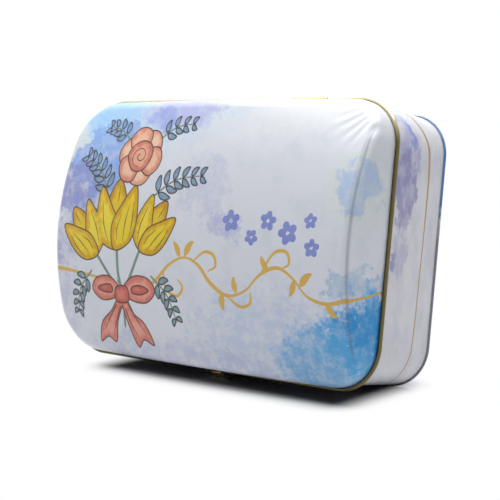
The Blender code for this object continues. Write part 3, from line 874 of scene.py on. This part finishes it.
lidWash = {
    "ground": "#E5E9F2", "deep": "#D1D8E4", "deepShare": (0.45, 0.75, 0.5), "white": "#EEF0F6",
    "cloud": 15.0, "fleck": 2.6, "mottle": 7.0, "run": (13.0, 34.0), "specks": (0.66, 0.72, 0.4),
    "patches": [
        ("#F6F9FC", 0.70, (20, 62, 13), (84, 20, 14), 0.6, 0.5, 0.1),
        ("#B0D4FA", 0.80, (-50, 60, 12), (62, 20, 14), 0.5, 0.5, 0.3),
        ("#9FCFFB", 0.85, (-82, 56, 10), (28, 18, 14), 0.4, 0.5, 0.25),
        ("#C6C0F0", 0.75, (-20, 60, 14), (27, 11, 12), 0.25, 0.9, 0.5),
        ("#A0B0F0", 0.80, (-32, 56, 14), (9, 6, 12), 0.12, 0.5, 0.5),
        ("#DDE6E4", 0.90, (-92, 43, 14), (9, 12, 16), 0.12, 0.5, 0.2),
        ("#8CB0EE", 0.95, (-64, 35, 22), (25, 21, 18), 0.05, 0.12, 0.35),
        ("#9299D4", 0.90, (-84, 20, 20), (21, 13, 20), 0.1, 0.5, 0.6),
        ("#8A9BDC", 0.80, (-64, 6, 24), (19, 17, 16), 0.12, 0.8, 0.7),
        ("#ACB0DE", 0.75, (-88, -10, 18), (15, 14, 20), 0.15, 1.2, 0.8),
        ("#BDC0E4", 0.55, (-90, -38, 14), (14, 18, 20), 0.25, 1.2, 0.8),
        ("#BFC4E8", 0.42, (8, 22, 26), (13, 15, 20), 0.2, 1.2, 0.8),
        ("#A9B1E6", 0.60, (22, 4, 26), (10, 7, 20), 0.12, 0.9, 0.5),
        ("#DCE6E2", 0.60, (95, 24, 18), (17, 19, 14), 0.3, 0.6, 0.2),
        ("#B2CAEE", 0.80, (95, 24, 19), (11, 13, 11), 0.12, 0.2, 0.45),
        ("#8CB6DE", 0.60, (91, -18, 14), (7, 8, 20), 0.15, 0.9, 0.5),
        ("#AFC6EC", 0.48, (52, -46, 18), (46, 22, 20), 0.3, 1.4, 0.8),
        ("#64B2E8", 0.84, (86, -55, 12), (29, 19, 20), 0.3, 1.2, 0.4),
        ("#3FA9E8", 0.85, (99, -42, 10), (20, 20, 18), 0.3, 1.1, 0.45),
        ("#0B93DC", 0.95, (104, -36, 10), (13, 14, 18), 0.25, 1.0, 0.3),
        ("#5FB0EA", 0.80, (99, -19, 8), (4, 7, 9), 0.2, 0.8, 0.5),
        ("#B8BDE8", 0.45, (-10, -62, 12), (58, 9, 12), 0.3, 1.4, 0.8),
    ],
    "pen": 0.34, "penColour": "#2E1F1E", "gold": "#E0B446", "stem": "#7F9688", "creaseShade": "#5E6A80",
    "grain": "#8F9CC0", "blossom": ("#7C88CE", "#98A4E0"),
    "layers": {
        "leafBack": ("#C9D3DA", "#7F9DBB"), "leafFront": ("#BFD0CF", "#7C9AA6"),
        "tulipBack": ("#EBC71F", "#CF980A"), "tulipSide": ("#F5DC3C", "#DDAF12"),
        "tulipFront": ("#F2D528", "#DAA80C"), "roseBack": ("#F8D2B6", "#E6A186"),
        "roseMid": ("#F6C7AA", "#E09078"), "roseFront": ("#F0B096", "#D67C6A"),
        "ribbonBack": ("#F0A494", "#DA7A68"), "ribbonFront": ("#E38573", "#C65F50"),
    },
}
lidPrint = Print("printedLid", lidWash)
grain = lidPrint.noise(lidPrint.at, 0.7, 2.0, 0.5)
lidPrint.over(lidWash["grain"], lidPrint.fade(grain, 0.62, 0.9) * 0.12)
streak = lidPrint.noise(lidPrint.at, 3.2, 3.0, 0.55)
penWidth = lidWash["pen"] * 0.75 + streak * lidWash["pen"] * 0.5


def strokeMask(name):
    side, plain, half = lidPrint.split(lidPrint.attribute(name, "Vector"))
    return lidPrint.fade(half - abs(side), -0.09, 0.09) * lidPrint.fade(plain - half, 0.7, 0.6)


def shapeMask(name):
    return lidPrint.fade(lidPrint.attribute(name), 0.1, -0.1)


for name, mask in (("goldRun", strokeMask), ("goldTwig", strokeMask), ("goldLeaf", shapeMask)):
    lidPrint.over(lidWash["gold"], mask(name) * 0.96)
lidPrint.over(lidWash["stem"], strokeMask("stem"))
# painted layers, each with pigment that pools at its rim and a pen line that covers the ink below
inkLine = None
for layer, (light, dark) in lidWash["layers"].items():
    field = lidPrint.attribute(layer)
    inside = shapeMask(layer)
    thin = lidPrint.fade(field + (streak - 0.5) * 7.0, -0.6, -4.2)
    lidPrint.over(lidPrint.blend(dark, light, thin), inside)
    line = lidPrint.fade(penWidth - abs(field), -0.12, 0.12)
    inkLine = line if inkLine is None else inkLine * (1 - inside) | line
lidPrint.over(lidPrint.blend(*lidWash["blossom"], streak), shapeMask("tinyPetal"))
lidPrint.over(lidWash["penColour"], (inkLine | strokeMask("ink")) * 0.92)
# painted shade: grey along the creases beside the ends
lidX, lidY, lidZ = lidPrint.split(lidPrint.at)
foldAway = abs(abs(lidX) - marks["creaseAt"] - 0.1) + (lidPrint.cloud - 0.5) * 0.8
creaseShadeMask = lidPrint.fade(foldAway, 0.9, 0.1) * lidPrint.fade(abs(lidY), 56, 46)
lidPrint.over(lidWash["creaseShade"], creaseShadeMask * lidPrint.fade(lidZ, 8, 12) * 0.42)
lidPrint.dry()

lidPiece = addPiece("lidShell", lidMesh, [lidPrint, gold, rim], "lid", ["lid_shell"])
windowHalf = lid["hingeWidth"] / 2 + 0.5
outerEdge = halfWidth + curlOffset + lid["curl"] + sheet
boxes = []
for side in (-1, 1):
    middle = side * lid["hingeSpacing"] / 2
    boxes.append(((middle - windowHalf, halfWidth + lid["step"] - 2 * sheet, -lid["curl"] - sheet),
                  (middle + windowHalf, outerEdge, lid["windowTop"])))
    near, far = sorted((side * lid["claspHalf"], side * (lid["claspHalf"] + lid["claspGap"])))
    boxes.append(((near, -outerEdge, -lid["curl"] - sheet),
                  (far, -halfWidth - lid["step"] - sheet / 2, lid["curl"] + sheet)))
lidMesh = cutBoxes(lidPiece, boxes, 1)
layPrint(lidMesh)
print("lid is cut and printed:", len(lidMesh.polygons), "faces")

# body wall
body = {
    "pitch": 2.0, "depth": 43.1, "neck": 5.5, "safeEdge": 0.9,
    "seamHalf": 3.0, "seamRise": 0.25, "seamTop": -2.2, "bead": 0.75, "seat": 0.3,
    "lineAt": [(66, -24.5), (60, -25.2), (54, -27.2), (47, -29.5), (33, -31), (10, -31), (-14, -30.4),
               (-36, -29.8), (-50, -28.8), (-66, -28.4)],
    "lineHalf": (0.42, 0.84), "lineTurn": (78, 92),
    "sideLine": -28.4, "sideWave": 1.6, "waveLength": 24, "hingeSideRise": 1.9,
}
beadOffset = body["bead"] - sheet / 2 - body["seat"] - sheet
wallLine = planLine(body["pitch"], [s * (body["seamHalf"] + e) for s in (-1, 1) for e in (0, 0.25)])
wallPath = [(beadOffset, -body["depth"] - body["bead"] / 4), (-sheet / 4, -body["depth"])]
wallPath += [(-sheet / 2, h) for h in np.linspace(-body["depth"] + body["bead"] / 2, 0, 22)]
wallPrinted = len(wallPath)
wallPath += [(-sheet / 2, body["neck"] / 2)]
safeCentre = (-sheet / 2 - body["safeEdge"], body["neck"] - body["safeEdge"])
wallPath += arcPath(safeCentre, body["safeEdge"], 0, 250, 14)
wallOutside, wallInside = sheetSides(wallPath, sheet)
if wallOutside[5][0] < wallInside[5][0]:
    wallOutside, wallInside = wallInside, wallOutside


def withSeam(ring):
    # the lock seam stands a little proud of the back wall
    x, y, z = ring.T
    onSeam = ease(-np.abs(x), -body["seamHalf"] - 0.25, -body["seamHalf"]) * (y > 0)
    onSeam = onSeam * ease(z, -body["depth"] + 1.6, -body["depth"] + 2.2)
    onSeam = onSeam * ease(-z, -body["seamTop"], -body["seamTop"] + 0.6)
    ring = ring.copy()
    ring[:, 1] += body["seamRise"] * onSeam
    return ring


wallRings = [withSeam(ringAt(wallLine, o, h)) for o, h in wallOutside]
wallRings += [ringAt(wallLine, o, h) for o, h in wallInside[::-1]]
wallSlots = [0 if index < wallPrinted else 1 for index in range(len(wallRings))]
wallMesh = loftMesh("bodyWall", wallRings, wallSlots)

wallWash = {
    "ground": "#E8E9F0", "deep": "#CFD0DE", "deepShare": (0.4, 0.7, 0.6), "white": "#ECEDF2",
    "cloud": 11.0, "fleck": 2.4, "mottle": 6.0, "run": (10.0, 20.0),
    "stretch": (1, 0.6, 1.3), "fleckStretch": (1, 0.5, 1.2), "specks": (0.66, 0.73, 0.0),
    "patches": [
        ("#AEB0DC", 0.80, (97, 42, -10), (26, 20, 13), 0.15, 0.9, 0.7),
        ("#918EC4", 0.85, (97, 27, -12), (20, 17, 9), 0.12, 0.7, 0.5),
        ("#7F98DC", 0.85, (97, 51, -17), (8, 6, 3), 0.12, 0.8, 0.4),
        ("#7480CC", 0.80, (97, -7, -7), (6, 5, 2.2), 0.12, 0.7, 0.3),
        ("#B4B4DA", 0.55, (97, -2, -12), (10, 12, 5), 0.2, 1.3, 0.9),
        ("#B3C4EA", 0.65, (60, 65, -20), (36, 8, 16), 0.25, 1.2, 0.7),
        ("#A3B6E8", 0.75, (-30, 65, -24), (42, 8, 14), 0.2, 1.2, 0.7),
        ("#9AA8E0", 0.80, (-97, 20, -18), (14, 34, 14), 0.15, 0.8, 0.6),
        ("#94C0EE", 0.70, (-90, -40, -24), (26, 26, 12), 0.2, 0.9, 0.6),
        ("#A3BFEC", 0.60, (20, -65, -18), (52, 8, 12), 0.25, 1.2, 0.7),
    ],
    "gold": "#BA9048",
}
wallPrint = Print("printedWall", wallWash)
onBand = wallPrint.attribute("goldBandHalf") - abs(wallPrint.attribute("goldBand"))
wallPrint.over(wallWash["gold"], wallPrint.fade(onBand, -0.08, 0.08) * 0.9)
wallPrint.dry()

# the gold line round the wall: its height and half width at each point of the mesh
wallX, wallY, wallZ = drawnPoints(wallMesh).T
lineY, lineZ = rounded(sorted(body["lineAt"]), steps=12).T
onEnd = np.interp(wallY, lineY, lineZ)
onSide = body["sideLine"] + (wallY > 0) * body["hingeSideRise"]
onSide = onSide + body["sideWave"] * np.sin(wallX / body["waveLength"])
thin, thick = body["lineHalf"]
storeField(wallMesh, "goldBand", wallZ - onSide - (onEnd - onSide) * ease(np.abs(wallX), *body["lineTurn"]))
storeField(wallMesh, "goldBandHalf", thin + (thick - thin) * ease(wallY, 0, 50))
addPiece("bodyWall", wallMesh, [wallPrint, gold], "tin_body", ["body_wall"])
print("body wall stands:", len(wallMesh.polygons), "faces")

# bottom
bottom = {"recess": 3.0, "step": 0.8, "stepInset": 12.0, "roundTo": 16.0, "edge": 0.8, "beadEnd": 62}
panelHeight = -body["depth"] - body["bead"] - sheet / 2 + bottom["recess"] + sheet / 2
panelLeg = beadOffset - body["bead"]
stepTop = panelHeight + bottom["step"]
bottomPath = [(-42, stepTop), (-28, stepTop)]
bottomPath += [(-bottom["stepInset"] - s * bottom["step"], panelHeight + bottom["step"] * ease(s, 0.6, 3.4))
               for s in np.linspace(4, 0, 9)]
bottomPath += [(-bottom["stepInset"] / 2, panelHeight)]
bottomPath += arcPath((panelLeg - bottom["edge"], panelHeight - bottom["edge"]), bottom["edge"], 90, 0, 6)
bottomPath += arcPath((beadOffset, -body["depth"]), body["bead"], 180, 360 + bottom["beadEnd"], 20)
bottomOut, bottomIn = sheetSides(bottomPath, sheet)
bottomLine = planLine(2.0)


def bottomRing(offset, height):
    # far in from the edge the plan is scaled instead of inset, so that its corners stay round
    ring = ringAt(bottomLine, max(offset, -bottom["roundTo"]), height)
    ring[:, :2] *= min((halfWidth + offset) / (halfWidth - bottom["roundTo"]), 1)
    return ring


bottomRings = [bottomRing(o, h) for o, h in bottomOut] + [bottomRing(o, h) for o, h in bottomIn[::-1]]
bottomCount = len(bottomOut)
outsideFirst = bottomOut[0][1] < bottomIn[0][1]
bottomSlots = [0 if (index < bottomCount) == outsideFirst else 1 for index in range(len(bottomRings))]
centres = [(0, 0, bottomOut[0][1]), (0, 0, bottomIn[0][1])]
bottomMesh = loftMesh("bottomPanel", bottomRings, bottomSlots, centres)

baseWash = {
    "ground": "#CDD1DC", "deep": "#CDD1DC", "deepShare": (0.4, 0.7, 0.0), "white": "#EEF0F6",
    "cloud": 14.0, "fleck": 2.6, "mottle": 7.0, "run": (12.0, 26.0), "specks": (0.63, 0.73, 0.0),
    "paintedLight": "#55576E",
    "patches": [
        ("#86B6E6", 0.75, (40, 20, -43), (46, 34, 14), 0.2, 1.0, 0.6),
        ("#A0AEE0", 0.75, (-50, -10, -43), (52, 36, 14), 0.25, 1.2, 0.7),
        ("#85B8EC", 0.75, (-80, 40, -43), (26, 24, 14), 0.15, 0.8, 0.6),
        ("#1F7DC4", 0.97, (94, 46, -43), (28, 26, 14), 0.08, 0.4, 0.2),
    ],
}
basePrint = Print("printedBase", baseWash)
# painted shade: the bead is darker along its lower half
baseY = basePrint.split(basePrint.at)[1]
beadShade = basePrint.fade(basePrint.attribute("beadSpread"), -0.4, 0.2)
beadShade = beadShade * basePrint.fade(baseY + (basePrint.fleck - 0.5) * 30, 24, 4)
basePrint.over(baseWash["paintedLight"], beadShade * 0.75)
basePrint.dry()

# how far each point of the bottom lies outside its corner circle
fromCorner = np.abs(drawnPoints(bottomMesh))[:, :2] - (flatX, flatY)
storeField(bottomMesh, "beadSpread", np.linalg.norm(np.clip(fromCorner, 0, None), axis=1) - corner)
addPiece("bottomPanel", bottomMesh, [basePrint, gold], "tin_body", ["bottom_panel"])
print("bottom is set:", len(bottomMesh.polygons), "faces")

# hinges, clasp and catch keep their solids and take their metals
fittings = {
    gilt: ("hinge_strap_left", "hinge_strap_right", "clasp_catch"),
    wire: ("hinge_pin_left", "hinge_pin_right", "clasp_bail"),
}
for finish, names in fittings.items():
    for name in names:
        frame["nodes"][name].data.materials.clear()
        frame["nodes"][name].data.materials.append(finish.material)
print("hinges and clasp are dressed")
